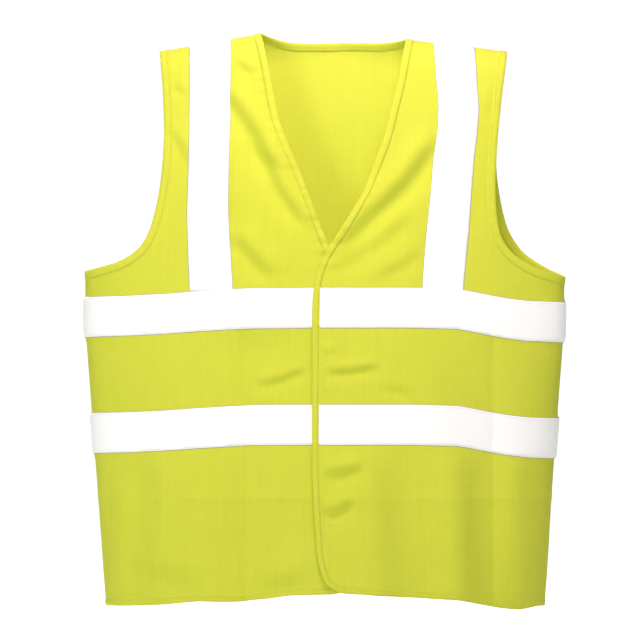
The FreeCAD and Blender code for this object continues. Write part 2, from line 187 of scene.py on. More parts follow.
def to_flat(points):
    """(x, z) in metres to the flat pattern (s, v): s across, v down from the shoulder."""
    points = np.asarray(points, float).reshape(-1, 2)
    x, z = points[:, 0], points[:, 1]
    drop = drop_from(x, z)
    sine = np.clip(x / half_width_at(drop), -1, 1)
    return np.stack([SCALE_S * np.arcsin(sine), np.interp(drop, DROPS, RUNS)], 1)


def bump_along(x, z, line, width, height, fade, lean):
    """Fold along a bent line, dying away towards both ends.

    Lean 0 is a round ridge; lean 1 is a droop, high above the line and low below it.
    """
    best = np.full(x.shape, 1e9)
    along = np.zeros(x.shape)
    offset = np.zeros(x.shape)
    total = sum(math.dist(start, end) for start, end in zip(line, line[1:]))
    done = 0.0
    for (x0, z0), (x1, z1) in zip(line, line[1:]):
        length = math.dist((x0, z0), (x1, z1))
        ux, uz = (x1 - x0) / length, (z1 - z0) / length
        t = np.clip((x - x0) * ux + (z - z0) * uz, 0, length)
        dx, dz = x - x0 - t * ux, z - z0 - t * uz
        gap = np.hypot(dx, dz)
        closer = gap < best
        best = np.where(closer, gap, best)
        along = np.where(closer, (done + t) / total, along)
        offset = np.where(closer, (dz * ux - dx * uz) * (1 if ux >= 0 else -1), offset)
        done += length
    ends = smooth(along / fade) * smooth((1 - along) / fade)
    across = offset / width
    return height * ends * np.exp(-across * across) * (1 - lean + lean * across)


# Folds as hung: line in millimetres (x, z), width and height in millimetres,
# how much of each end fades out, and its lean.
FRONT_FOLDS = [
    # from the right shoulder along the neck, and below it
    ([(-134, -58), (-108, -88), (-88, -118), (-72, -142), (-58, -162), (-46, -180)],
     15, 12, 0.22, 1),
    ([(-92, -124), (-70, -164), (-54, -192), (-36, -218), (-18, -246)], 14, 11, 0.2, 1),
    ([(-112, -26), (-98, -38), (-86, -50)], 8, 4, 0.4, 1),
    ([(-118, -242), (-90, -274), (-60, -306)], 15, 10, 0.3, 1),
    ([(-124, -112), (-116, -170), (-112, -240)], 12, 4, 0.35, 0),
    ([(-190, -55), (-172, -75)], 8, 3, 0.4, 1),
    ([(-196, -104), (-178, -140), (-162, -175)], 10, 4, 0.4, 1),
    # from the left shoulder towards the middle
    ([(148, -116), (98, -184), (54, -226), (24, -256), (4, -282)], 17, 13, 0.2, 1),
    ([(116, -214), (66, -256), (28, -280), (0, -298)], 14, 6, 0.3, 1),
    ([(128, -262), (96, -284), (56, -308)], 12, 4, 0.4, 1),
    ([(196, -56), (204, -100)], 8, 2, 0.4, 0),
    # pulls at the touch fastener
    ([(-92, -438), (-55, -428), (-18, -414)], 9, 6.5, 0.3, 1),
    ([(-6, -419), (30, -418), (74, -411)], 9, 7, 0.3, 1),
    ([(-6, -392), (18, -387)], 6, 2, 0.3, 0),
    ([(62, -436), (88, -440), (116, -448)], 9, 4, 0.4, 1),
    ([(-8, -546), (22, -544), (56, -534)], 12, 10, 0.35, 1),
    ([(-8, -596), (14, -592), (42, -578)], 11, 9.5, 0.35, 1),
    # fullness above the hem
    ([(-262, -668), (-205, -668), (-130, -682)], 22, 9, 0.45, 1),
    ([(-96, -684), (-60, -680), (-8, -676)], 17, 8, 0.45, 1),
    ([(158, -500), (162, -600), (166, -740)], 22, 8.5, 0.22, 0),
    ([(230, -500), (234, -610), (236, -740)], 20, 6, 0.22, 0),
    ([(58, -500), (62, -600), (66, -740)], 28, 6.5, 0.22, 0),
    ([(-204, -500), (-208, -600), (-214, -740)], 26, 7, 0.22, 0),
    ([(-250, -530), (-252, -630), (-254, -712)], 16, 4, 0.3, 0),
]
BACK_FOLDS = [
    ([(-190, -110), (-120, -200), (-60, -320)], 15, 7, 0.35, 1),
    ([(185, -120), (130, -210), (85, -310)], 14, 7, 0.35, 1),
    ([(-150, -250), (-80, -300), (-10, -330)], 13, 5, 0.4, 1),
    ([(30, -420), (60, -560), (70, -705)], 22, 5, 0.35, 0),
    ([(-90, -400), (-110, -560), (-118, -705)], 24, 4.5, 0.35, 0),
    ([(170, -440), (178, -580), (190, -705)], 18, 3.5, 0.35, 0),
    ([(-200, -430), (-205, -580), (-214, -705)], 18, 3, 0.35, 0),
]
# Creases left by folding flat. Upright: x, its two ends, height, and its reach to
# either side. Level: z, height and reach.
UPRIGHT_CREASES = [(-100, -345, -720, -12.0, 26, 60), (211, -345, -720, -3.5, 16, 26)]
LEVEL_CREASES = [(-577, 1.5, 6)]
BACK_CREASE = 0.8  # how much of an upright crease the back shows
PUCKER, PUCKER_PITCH, PUCKER_REACH = 0.55 * MM, 2.3 * MM, 13 * MM
WAVE, SHORT_WAVE, RIPPLE, BACK_WAVES = 0.0022, 0.0015, 0.0030, 1.6


def relief(x, z, y):
    """How far the cloth stands out from the smooth form."""
    front = np.zeros(x.shape)
    back = np.zeros(x.shape)
    for total, folds in ((front, FRONT_FOLDS), (back, BACK_FOLDS)):
        for line, width, height, fade, lean in folds:
            line = [(px * MM, pz * MM) for px, pz in line]
            total += bump_along(x, z, line, width * MM, height * MM, fade, lean)
    for at, top, bottom, height, left, right in UPRIGHT_CREASES:
        off = x - at * MM
        reach = np.where(off < 0, left, right) * MM
        ends = smooth((top * MM - z) / 0.05) * smooth((z - bottom * MM) / 0.03 + 1)
        crease = height * MM * ends * np.exp(-np.abs(off) / reach)
        front += crease
        back += crease * BACK_CREASE
    for at, height, reach in LEVEL_CREASES:
        crease = height * MM * np.exp(-np.abs(z - at * MM) / (reach * MM))
        front += crease
        back += crease
    for line, sign in ((OVER_NECK, 1), (UNDER_NECK, -1)):
        # the binding gathers the neck edge of each front a little
        gap = (sign * x - look_up([(-pz, px) for px, pz in line], -z)) / PUCKER_REACH
        ripple = PUCKER * np.sin(z / PUCKER_PITCH + 2 * np.sin(z / (31 * MM)))
        front += ripple * np.exp(-gap * gap) * smooth((z + 0.31) / 0.05) * smooth(-z / 0.05)
    # long loose waves all over, and ripples that grow towards the hem
    low = smooth((CHEST_Z - z) / 0.35)
    waves = WAVE * np.sin(x * 31 + 0.8) * np.sin(z * 9 + 1.0) + SHORT_WAVE * np.sin(x * 57 + z * 12)
    ripple = RIPPLE * low * np.sin(x * 44 + 1.9) * smooth((np.abs(x) - 0.05) / 0.08)
    front = front + waves * (0.4 + 0.6 * low) + ripple
    back = back + BACK_WAVES * waves * (0.4 + 0.6 * low) + ripple
    return front * smooth(-y / 0.02) + back * smooth(y / 0.02)


def surface(flat, on):
    """Flat pattern to space, on the cloth named: back, left or right."""
    s, v = flat[:, 0], flat[:, 1]
    drop = np.interp(v, RUNS, DROPS)
    angle = s / SCALE_S
    x = half_width_at(drop) * np.sin(angle)
    depth = depth_at(drop)
    if on == "right":
        depth = depth - UNDER_INSET * np.clip(drop / YOKE, 0, 1)
    y = FACE[on] * depth * np.cos(angle)
    z = height_at(drop, x)
    lean = smooth(1 + z / LEAN_REACH) ** LEAN_POWER * np.where(z > -LEAN_REACH, 1, 0)
    x = x + LEAN_X * lean
    z = z + look_up(RISE, x) * smooth(1 + z / RISE_REACH)
    out = relief(x, z, y)
    nx = x / HALF_CHEST ** 2
    ny = y / np.maximum(depth, MIN_DEPTH) ** 2
    reach = np.maximum(np.hypot(nx, ny), 1e-6)
    fade = smooth(drop / SHOULDER_FADE)
    return np.stack([x + nx / reach * out * fade, y + ny / reach * out * fade, z], 1)


def place(flat, on):
    """Points, outward normals and the two unit directions on the surface."""
    e = 0.4 * MM
    across = surface(flat + [e, 0], on) - surface(flat - [e, 0], on)
    low = flat.copy()
    low[:, 1] += e
    high = flat.copy()
    high[:, 1] = np.maximum(high[:, 1] - e, 0)
    down = surface(low, on) - surface(high, on)
    normal = unit(np.cross(across, down) * FACE[on])
    ds = across / (2 * e)
    dv = down / np.maximum(low[:, 1] - high[:, 1], 1e-9)[:, None]
    return surface(flat, on), normal, ds, dv


def cloth_uv(flat):
    """Lengths along the real cloth, for the weave."""
    s, v = flat[:, 0], flat[:, 1]
    drop = np.interp(v, RUNS, DROPS)
    a, b = half_width_at(drop), depth_at(drop)
    nodes, weights = np.polynomial.legendre.leggauss(10)
    total = np.zeros(s.shape)
    for node, weight in zip(nodes, weights):
        angle = s / SCALE_S * (node + 1) / 2
        total += weight * np.sqrt((a * np.cos(angle)) ** 2 + (b * np.sin(angle)) ** 2)
    return np.stack([total * s / SCALE_S / 2, v], 1)


# ===== outlines
# (x, z) in millimetres, as hung, for the wearer's left; x is mirrored for the right.
# A corner is measured from the end of the neck line and the start of the hem.

OVER_NECK = [(92, 0), (88, -19), (81, -59), (74, -92), (68.5, -120), (60.5, -147), (51.5, -174),
             (45, -192), (30, -221), (13, -250), (1, -270), (-9, -296), (-14, -325), (-15, -360)]
UNDER_NECK = [(92, 0), (84, -30), (69.5, -93), (58, -125), (41, -161), (20, -209), (-2, -261),
              (-19, -300), (-28, -335), (-30, -370)]
CORNER = {
    "left": [(0, 150), (1.5, 116), (3.6, 80), (5, 58), (7, 42), (10, 29), (16, 13.5), (21.5, 8),
             (29, 3.6), (40, 0)],
    "right": [(0, 24), (2.5, 12), (8, 4.5), (15, 1), (22, 0)],
}
FRONT_ARM = {
    "left": [(218, -18), (212.5, -67), (209, -117), (208, -150), (208.5, -185), (211.5, -220),
             (218.5, -250), (231.5, -269), (251, -283.5), (272, -293), (302, -302)],
    "right": [(218, -18), (212.8, -67), (209.4, -117), (209.4, -150), (210.4, -175), (212.5, -198),
              (216, -220), (221.5, -242), (229, -258.4), (239.4, -270.4), (257, -281.6),
              (280, -289), (302, -295)],
}
BACK_ARM = {
    "left": [(218, -18), (212.5, -67), (209, -117), (209.5, -150), (212, -175), (216.5, -198),
             (222, -220), (230.5, -243), (246, -266), (263, -280), (283, -292), (302, -301)],
    "right": [(218, -18), (212.5, -67), (209, -117), (209, -150), (210, -175), (212, -198),
              (215.5, -220), (221, -242), (228.5, -258), (239, -270), (257, -281), (280, -288),
              (302, -294)],
}
BACK_NECK = [(92, 0), (72, -4.5), (50, -7.5), (25, -9), (0, -9.5)]
SAGS = {
    # how far a level line has sunk, against distance from the middle
    "left": [(0, 0), (110, 0), (165, 1.5), (185, 5), (205, 9), (230, 13.5), (255, 16.5), (302, 18)],
    "right": [(0, 0), (90, 0.5), (120, 2), (160, 4.5), (200, 7.5), (240, 9.5), (302, 11.5)],
    # the back hangs unevenly too, and meets each front at its side seam
    "back": [(-302, 11.5), (-240, 9.5), (-200, 7), (-150, 2.5), (-100, 0.5), (0, 0), (100, 0.5),
             (150, 2), (200, 7.5), (230, 13), (255, 16), (302, 18)],
}
# how much higher than a smooth line the hem hangs, against distance from the middle
HEM_LIFT = {
    "left": [(-20, 3.5), (31, 3.75), (69, 2.5), (119, 2.5), (156, 1.25), (194, -1.25), (219, -2.5),
             (244, -2.5), (262, 2), (302, 3)],
    "right": [(-30, 3), (0, 2.5), (44, 1.25), (69, -1.25), (106, -2.5), (156, 1.25), (206, -1.25),
              (256, -2.5), (302, -2.5)],
    "back": [(-302, -2.5), (-256, -2.5), (-200, 0), (200, 0), (262, 2), (302, 3)],
}


def curve(points):
    """Smooth line through the given points, as (x, z) in metres."""
    p = np.array(points, float) * MM
    p = np.concatenate([[2 * p[0] - p[1]], p, [2 * p[-1] - p[-2]]])
    out = []
    for p0, p1, p2, p3 in zip(p, p[1:], p[2:], p[3:]):
        b = p2 - p0
        c = 2 * p0 - 5 * p1 + 4 * p2 - p3
        d = -p0 + 3 * p1 - 3 * p2 + p3
        for t in np.linspace(0, 1, 12, endpoint=False):
            out.append(0.5 * (2 * p1 + b * t + c * t * t + d * t ** 3))
    return np.array(out + [p[-2]])


def level(drop, sag, x_from, x_to, grow=1.0):
    """Level line at a drop below the neck points, with the sag of that side."""
    x = np.linspace(x_from, x_to, 90) * MM
    at = x if sag == "back" else np.abs(x)
    return np.stack([x, -drop * MM - grow * look_up(SAGS[sag], at)], 1)


HEM_END = 268
HEM_SAG = 0.75  # how much of the side's sag the hem has
HEM_DIP, DIP_FROM, DIP_RUN = 4.5 * MM, 0.03, 0.11


def hem_line(sag, x_from):
    line = level(HEM_MIDDLE, sag, x_from, HEM_END, HEM_SAG)
    line[:, 1] -= HEM_DIP * smooth((np.abs(line[:, 0]) - DIP_FROM) / DIP_RUN)
    line[:, 1] += look_up(HEM_LIFT[sag], line[:, 0])
    return line


def flip(line):
    return np.asarray(line) * [-1, 1]


def resample(flat, step):
    run = run_along(flat)
    keep = np.concatenate([[True], np.diff(run) > 1e-9])
    count = max(2, int(round(run[-1] / step)) + 1)
    at = np.linspace(0, run[-1], count)
    return np.stack([np.interp(at, run[keep], flat[keep, k]) for k in (0, 1)], 1)


def joined(*parts):
    out = [np.asarray(parts[0])]
    for part in parts[1:]:
        part = np.asarray(part)
        if np.linalg.norm(part[0] - out[-1][-1]) < 1e-6:
            part = part[1:]
        out.append(part)
    return np.concatenate(out)


def between(first, second):
    """The outline between two lines that run the same way."""
    return joined(first, second[::-1])


SIDE_S = SCALE_S * math.pi / 2
SIGN = {"left": 1, "right": -1}
FACE = {"back": 1, "left": -1, "right": -1}


def side_to_flat(line, side):
    """A line drawn for the left side, in the flat pattern of either side."""
    return to_flat(line if side == "left" else flip(line))


def front_edge(side):
    """Neck edge, front edge, corner and hem of one front, in the flat pattern."""
    neck = curve(OVER_NECK if side == "left" else UNDER_NECK)
    lap = neck[-1][0] / MM
    hem = hem_line(side, lap + CORNER[side][-1][0])
    corner = [(lap + cx, hem[0][1] / MM + cz) for cx, cz in CORNER[side]]
    flat = side_to_flat(joined(neck, curve(corner), hem), side)
    return joined(flat, [[SIGN[side] * SIDE_S, flat[-1, 1]]])


def arm_edge(points, side):
    flat = side_to_flat(curve(points), side)
    flat[0, 1] = 0
    flat[-1, 0] = SIGN[side] * SIDE_S
    return flat


def back_neck_edge():
    half = curve(BACK_NECK)
    flat = to_flat(joined(half, flip(half)[::-1]))
    flat[0, 1] = flat[-1, 1] = 0
    return flat


def back_hem_edge():
    flat = to_flat(hem_line("back", -HEM_END))
    return joined([[-SIDE_S, flat[0, 1]]], flat, [[SIDE_S, flat[-1, 1]]])


def inside(points, polygon):
    x, y = points.T
    result = np.zeros(len(points), bool)
    for (xi, yi), (xj, yj) in zip(polygon, np.roll(polygon, 1, axis=0)):
        if yi != yj:
            crosses = (yi > y) != (yj > y)
            result ^= crosses & (x < (xj - xi) * (y - yi) / (yj - yi) + xi)
    return result


def near(points, polygon, gap):
    """Which points lie within a gap of the polygon's sample points."""
    result = np.zeros(len(points), bool)
    for corner in polygon:
        result |= ((points - corner) ** 2).sum(1) < gap * gap
    return result


def triangulate(polygon, step):
    """Even triangles inside a flat outline."""
    low, high = polygon.min(0), polygon.max(0)
    rows = np.arange(low[1] + step * 0.5, high[1], step * 0.866)
    grid = []
    for index, v in enumerate(rows):
        start = low[0] + step * (0.5 if index % 2 else 0.25)
        grid.append(columns(np.arange(start, high[0], step), v))
    grid = np.concatenate(grid)
    grid = grid[inside(grid, polygon)]
    grid = grid[~near(grid, polygon, step * 0.55)]
    points = np.concatenate([polygon, grid])
    count = len(polygon)
    edges = [(i, (i + 1) % count) for i in range(count)]
    verts, _, faces, _, _, _ = delaunay_2d_cdt(
        [Vector(p) for p in points], edges, [], 1, 1e-7)
    return np.array([tuple(v) for v in verts]), [tuple(f) for f in faces]


def mesh_object(name, verts, faces, uvs=None):
    mesh = bpy.data.meshes.new(name)
    mesh.from_pydata([tuple(v) for v in verts], [], faces)
    mesh.validate()
    if uvs is not None:
        layer = mesh.uv_layers.new(name="cloth")
        loops = np.zeros(len(mesh.loops), np.int32)
        mesh.loops.foreach_get("vertex_index", loops)
        layer.data.foreach_set("uv", np.asarray(uvs, np.float32)[loops].ravel())
    mesh.polygons.foreach_set("use_smooth", [True] * len(mesh.polygons))
    obj = bpy.data.objects.new(name, mesh)
    scene.collection.objects.link(obj)
    return obj


def patch(name, polygon, step, on, lift, thick):
    """Cloth of a given thickness inside a flat outline; lift is its middle above the form."""
    flat, faces = triangulate(resample(joined(polygon, [polygon[0]]), step)[:-1], step)
    points, normals, _, _ = place(flat, on)
    if callable(lift):
        lift = lift(flat)[:, None]
    uv = cloth_uv(flat)
    count = len(flat)
    outer = points + normals * (lift + thick / 2)
    inner = points + normals * (lift - thick / 2)
    sides = {}
    oriented = []
    for f in faces:
        a, b, c = (outer[i] for i in f)
        if np.dot(np.cross(b - a, c - a), normals[f[0]]) < 0:
            f = f[::-1]
        oriented.append(f)
        for pair in ((f[0], f[1]), (f[1], f[2]), (f[2], f[0])):
            sides[pair] = True
    all_faces = oriented + [tuple(i + count for i in f[::-1]) for f in oriented]
    all_faces += [(j, i, i + count, j + count) for i, j in sides if (j, i) not in sides]
    obj = mesh_object(name, np.concatenate([outer, inner]), all_faces, np.concatenate([uv, uv]))
    obj["inner_faces"] = [len(oriented), 2 * len(oriented)]
    return obj


def line_inside(obj, material):
    """A finish of its own for the side of a cloth that faces the wearer."""
    first, last = obj["inner_faces"]
    obj.data.materials.append(material)
    for polygon in obj.data.polygons[first:last]:
        polygon.material_index = 1


MARCH_STEPS = 4


def march(flat, on, inward, distance):
    """Edge points moved inwards over the surface by a distance, one for all or one for each."""
    current = flat.copy()
    part = distance / MARCH_STEPS
    for _ in range(MARCH_STEPS):
        _, normal, ds, dv = place(current, on)
        path = surface(current, on)
        aim = np.cross(normal, unit(np.gradient(path, axis=0))) * inward
        current[:, 0] += part * (aim * ds).sum(1) / np.maximum((ds * ds).sum(1), 1e-9)
        current[:, 1] += part * (aim * dv).sum(1) / np.maximum((dv * dv).sum(1), 1e-9)
        current[:, 1] = np.maximum(current[:, 1], 0)
    return current


def inward_sign(edge, on, target):
    """+1 or -1: which way over the surface leads from the edge towards the cloth."""
    middle = len(edge) // 2
    sample = edge[max(0, middle - 3):middle + 4]
    moved = march(sample, on, 1, 3 * MM)
    before = np.linalg.norm(sample[3] - target)
    return 1 if np.linalg.norm(moved[3] - target) < before else -1


BINDING, HEM_BINDING = 10 * MM, 7.5 * MM
# the section of a folded binding, in mm: outer leg, fold and inner faces
LEG = [(1.0, 0.38), (1.0, 0.44), (0.7, 0.80), (0.35, 1.05)]
FOLD = [(0.85, 0.35), (0, 0.95), (-0.85, 0.35)]
INSIDE = [(0.35, -0.45, 0), (0, -0.45, 0.1), (0, 0.45, 0.1), (0.35, 0.45, 0)]


def binding(name, edge, on, target, width):
    """Strip folded over an edge, sewn through both its legs; also where it was laid.

    Width is one number, or a function of height.
    """
    edge = resample(edge, 3 * MM)
    if callable(width):
        width = width(surface(edge, on)[:, 2])
    inward = inward_sign(edge, on, target)
    rows = {}
    for share in (0, 0.35, 0.7, 1.0):
        flat = edge if share == 0 else march(edge, on, inward, width * share)
        rows[share] = place(flat, on)[:2]
    first, normal0 = rows[0]
    outwards = unit(first - rows[0.35][0])
    mid = PLY / 2
    run = run_along(first)
    pucker = 1 + 0.16 * np.sin(run / (2.1 * MM) + 1.5 * np.sin(run / (17 * MM)))
    pucker = (pucker + 0.10 * np.sin(run / (9 * MM) + 2.0))[:, None]

    def leg(share, height):
        points, normals = rows[share]
        return points + normals * (mid + height * MM * pucker)

    ring = [leg(share, height) for share, height in LEG]
    for height, reach in FOLD:
        ring.append(first + normal0 * (mid + height * MM) + outwards * reach * MM)
    ring += [leg(share, -height) for share, height in reversed(LEG)]
    for share, height, reach in INSIDE:
        points, normals = rows[share]
        ring.append(points + normals * (mid + height * MM) + outwards * reach * MM)
    count, length = len(ring), len(edge)
    verts = np.stack(ring, 1).reshape(-1, 3)
    uv = np.array([(run[i], k * 2 * MM) for i in range(length) for k in range(count)])
    obj = mesh_object(name, verts, rod_faces(1, length, count), uv)
    fix_normals(obj)
    return obj, edge, inward, width


def rod_faces(count, rings, corners):
    """Faces of rods with a number of rings each: belts of quads, and a cap at both ends."""
    k = np.arange(corners)
    belt = np.stack([k, (k + 1) % corners, (k + 1) % corners + corners, k + corners], 1)
    one = np.concatenate([belt + ring * corners for ring in range(rings - 1)])
    starts = np.arange(count) * rings * corners
    faces = [tuple(quad) for quad in (one + starts[:, None, None]).reshape(-1, 4).tolist()]
    for start in starts.tolist():
        faces.append(tuple(range(start + corners - 1, start - 1, -1)))
        last = start + (rings - 1) * corners
        faces.append(tuple(range(last, last + corners)))
    return faces


def fix_normals(obj):
    bm = bmesh.new()
    bm.from_mesh(obj.data)
    bmesh.ops.recalc_face_normals(bm, faces=bm.faces)
    bm.to_mesh(obj.data)
    bm.free()


def tubes(name, paths, plane, radius, corners=5):
    """Thin round threads: paths is (count, points, 3), plane a normal of each path's own plane."""
    across = np.broadcast_to(plane[:, None, :], paths.shape)
    up = np.cross(unit(np.gradient(paths, axis=1)), across)
    turn = 2 * math.pi * np.arange(corners) / corners
    radius = np.broadcast_to(np.asarray(radius, float), paths.shape[:2])[:, :, None, None]
    ring = across[:, :, None] * np.cos(turn)[:, None] + up[:, :, None] * np.sin(turn)[:, None]
    verts = (paths[:, :, None] + ring * radius).reshape(-1, 3)
    return mesh_object(name, verts, rod_faces(*paths.shape[:2], corners))


STITCH = 2.6 * MM
STITCH_PITCH = 3.4 * MM
THREAD = 0.24 * MM
STITCH_SHAPE = np.array([(-0.5, -0.35), (-0.36, 0.2), (-0.12, 0.5),
                         (0.12, 0.5), (0.36, 0.2), (0.5, -0.35)])


def stitches(name, lines, lift, on, length=STITCH, pitch=STITCH_PITCH, outwards=1):
    """Rows of lock stitches along flat lines; each thread dips into the cloth at both ends."""
    paths, planes = [], []
    for line in lines:
        points, normals, _, _ = place(resample(line, 1.0 * MM), on)
        run = run_along(points)
        starts = np.arange(pitch / 2, run[-1] - length / 2, pitch)
        if not len(starts):
            continue
        at = starts[:, None] + STITCH_SHAPE[:, 0] * length
        centre = np.stack([np.interp(at, run, points[:, k]) for k in range(3)], 2)
        normal = np.stack([np.interp(at, run, normals[:, k]) for k in range(3)], 2) * outwards
        rise = lift + STITCH_SHAPE[:, 1:] * 2 * THREAD
        paths.append(centre + normal * rise)
        planes.append(unit(np.cross(centre[:, -1] - centre[:, 0], normal[:, 2])))
    radius = THREAD * np.array([0.55, 0.9, 1, 1, 0.9, 0.55])
    return tubes(name, np.concatenate(paths), np.concatenate(planes), radius)


def overlock(name, line, width, lift, on, outwards):
    """Zigzag thread over a raw edge that runs straight down the flat pattern."""
    flat = resample(line, 1.1 * MM)
    flat[1::2, 0] += width
    points, normals, _, _ = place(flat, on)
    points = points + normals * outwards * lift
    middles = (points[:-1] + points[1:]) / 2 + normals[:-1] * outwards * THREAD
    pairs = np.stack([points[:-1], middles, points[1:]], 1)
    plane = unit(np.cross(points[1:] - points[:-1], normals[:-1]))
    return tubes(name, pairs, plane, THREAD * 0.8, 4)


# ===== materials

WHITE = (1, 1, 1)


def fill(tree, node, **sockets):
    """Each socket of a node gets a link from another socket, or a plain value."""
    for key, value in sockets.items():
        socket = node.inputs[key.replace("_", " ")]
        if isinstance(value, bpy.types.NodeSocket):
            tree.links.new(value, socket)
        else:
            socket.default_value = value
    return node


def principled(name, color, roughness, **sockets):
    material = bpy.data.materials.new(name)
    material.use_nodes = True
    tree = material.node_tree
    shader = fill(tree, tree.nodes["Principled BSDF"], Base_Color=(*color, 1), Roughness=roughness,
                  **sockets)
    return material, tree, shader


def bands(tree, uv, direction, period, distortion):
    """Even ribs with a real period in metres."""
    wave = tree.nodes.new("ShaderNodeTexWave")
    wave.wave_type = "BANDS"
    wave.bands_direction = direction
    fill(tree, wave, Scale=math.pi / 10 / period, Distortion=distortion, Detail=1.0, Vector=uv)
    return wave.outputs["Fac"]


def noise(tree, source, scale, detail=3.0, stretch=None):
    """Noise over the cloth; stretch gives a pair of scales, across and down the knit."""
    if stretch:
        scaled = tree.nodes.new("ShaderNodeMapping")
        source = fill(tree, scaled, Scale=(*stretch, 1.0), Vector=source).outputs["Vector"]
    cloud = tree.nodes.new("ShaderNodeTexNoise")
    return fill(tree, cloud, Scale=scale, Detail=detail, Vector=source).outputs["Fac"]


def math_node(tree, operation, first, second):
    node = tree.nodes.new("ShaderNodeMath")
    node.operation = operation
    tree.links.new(first, node.inputs[0])
    if isinstance(second, float):
        node.inputs[1].default_value = second
    else:
        tree.links.new(second, node.inputs[1])
    return node.outputs[0]


def bump(tree, shader, height, strength, distance):
    node = tree.nodes.new("ShaderNodeBump")
    fill(tree, node, Strength=strength, Distance=distance, Height=height)
    tree.links.new(node.outputs["Normal"], shader.inputs["Normal"])


def ramp_color(tree, factor, low_at, low, high_at, high=WHITE):
    ramp = tree.nodes.new("ShaderNodeValToRGB")
    stops = ((low_at, low), (high_at, high))
    for element, (position, color) in zip(ramp.color_ramp.elements, stops):
        element.position = position
        element.color = (*color, 1)
    return fill(tree, ramp, Fac=factor).outputs["Color"]


def multiplied(tree, factor, first, second):
    node = tree.nodes.new("ShaderNodeMix")
    node.data_type = "RGBA"
    node.blend_type = "MULTIPLY"
    return fill(tree, node, Factor=factor, A=first, B=second).outputs["Result"]


def cloth_uv_socket(tree):
    uv = tree.nodes.new("ShaderNodeUVMap")
    uv.uv_map = "cloth"
    return uv.outputs["UV"]


def shaded(color, share):
    return tuple(c * k for c, k in zip(color, share))


def knit_material(name, color, wale, course, roughness=0.78, strength=0.4, painted_glow=0.05):
    """Warp knit: upright wales crossed by courses, slightly uneven dye, a soft sheen, painted shade
    in the hollows between its loops, and an even painted glow.
    """
    material, tree, shader = principled(
        name, color, roughness, Sheen_Weight=0.06, Sheen_Roughness=0.45,
        Specular_IOR_Level=0.25, Emission_Color=(*KNIT_PAINTED_GLOW, 1), Emission_Strength=painted_glow)
    uv = cloth_uv_socket(tree)
    wales = bands(tree, uv, "X", wale, 0.8)
    loops = math_node(tree, "MULTIPLY", wales, bands(tree, uv, "Y", course, 1.6))
    height = math_node(tree, "ADD", loops, math_node(tree, "MULTIPLY", wales, 0.6))
    bump(tree, shader, height, strength, 0.35 * MM)
    dye = noise(tree, uv, 7.0)
    base = ramp_color(tree, dye, 0.32, shaded(color, (0.975, 0.985, 0.9)), 0.7, color)
    streaks = noise(tree, uv, 1.0, 3.0, (260.0, 9.0))
    rungs = noise(tree, uv, 1.0, 3.0, (7.0, 240.0))
    scuffs = noise(tree, uv, 60.0, 5.0)
    for share, marks, low_at, tone, high_at in (
            # painted shade: the knit is darker where its loops dip, in the hollows of its bumps
            (0.55, loops, 0.0, (0.86, 0.88, 0.78), 0.55),
            (1.0, streaks, 0.36, (0.972, 0.978, 0.92), 0.6),
            (1.0, rungs, 0.36, (0.99, 0.992, 0.96), 0.6),
            (1.0, scuffs, 0.35, (0.985, 0.988, 0.96), 0.6)):
        base = multiplied(tree, share, base, ramp_color(tree, marks, low_at, tone, high_at))
    rough = ramp_color(tree, noise(tree, uv, 25.0), 0.3, (roughness - 0.06,) * 3,
                       0.7, (roughness + 0.06,) * 3)
    fill(tree, shader, Base_Color=base, Roughness=rough)
    return material


def tape_material(name):
    """Glass-bead tape: silver white beads on a woven backing, lightly scuffed, and a painted glow
    for the light the beads throw back.
    """
    color = (0.93, 0.935, 0.945)
    material, tree, shader = principled(
        name, color, 0.42, Emission_Color=(*WHITE, 1), Emission_Strength=TAPE_PAINTED_GLOW)
    uv = cloth_uv_socket(tree)
    beads = tree.nodes.new("ShaderNodeTexVoronoi")
    beads = fill(tree, beads, Scale=2600.0, Vector=uv).outputs["Distance"]
    weave = math_node(tree, "MULTIPLY", *(bands(tree, uv, way, 0.7 * MM, 0.3) for way in "XY"))
    height = math_node(tree, "ADD", math_node(tree, "MULTIPLY", beads, 0.5), weave)
    bump(tree, shader, height, 0.14, 0.2 * MM)
    tint = ramp_color(tree, beads, 0.0, color, 0.9, shaded(color, (0.93, 0.93, 0.94)))
    wear = ramp_color(tree, noise(tree, uv, 40.0, 6.0), 0.3, (0.965, 0.965, 0.97), 0.5)
    rough = ramp_color(tree, noise(tree, uv, 90.0, 4.0), 0.35, (0.5,) * 3, 0.65, (0.36,) * 3)
    fill(tree, shader, Base_Color=multiplied(tree, 1.0, tint, wear), Roughness=rough)
    return material


def fibre_material(name, color, roughness, sheen=0.3, grain=900.0):
    """Thread, pile or moulded hooks: fine bumps and a little colour change in object space."""
    material, tree, shader = principled(name, color, roughness, Sheen_Weight=sheen)
    place_node = tree.nodes.new("ShaderNodeTexCoord")
    cloud = noise(tree, place_node.outputs["Object"], grain, 2.0)
    tint = ramp_color(tree, cloud, 0.3, shaded(color, (0.88, 0.89, 0.85)), 0.7, color)
    fill(tree, shader, Base_Color=tint)
    bump(tree, shader, cloud, 0.25, 0.1 * MM)
    return material


# painted light: every knit glows evenly in this tint, standing in for the fluorescent cloth's extra
# brightness under the lamps
KNIT_PAINTED_GLOW = (0.80, 0.76, 0.14)
# painted light: the tape glows white, standing in for the light its glass beads throw back
TAPE_PAINTED_GLOW = 0.22
YELLOW = (0.742, 0.79, 0.062)
cloth_finish = knit_material("cloth_knit", YELLOW, 1.0 * MM, 0.8 * MM)
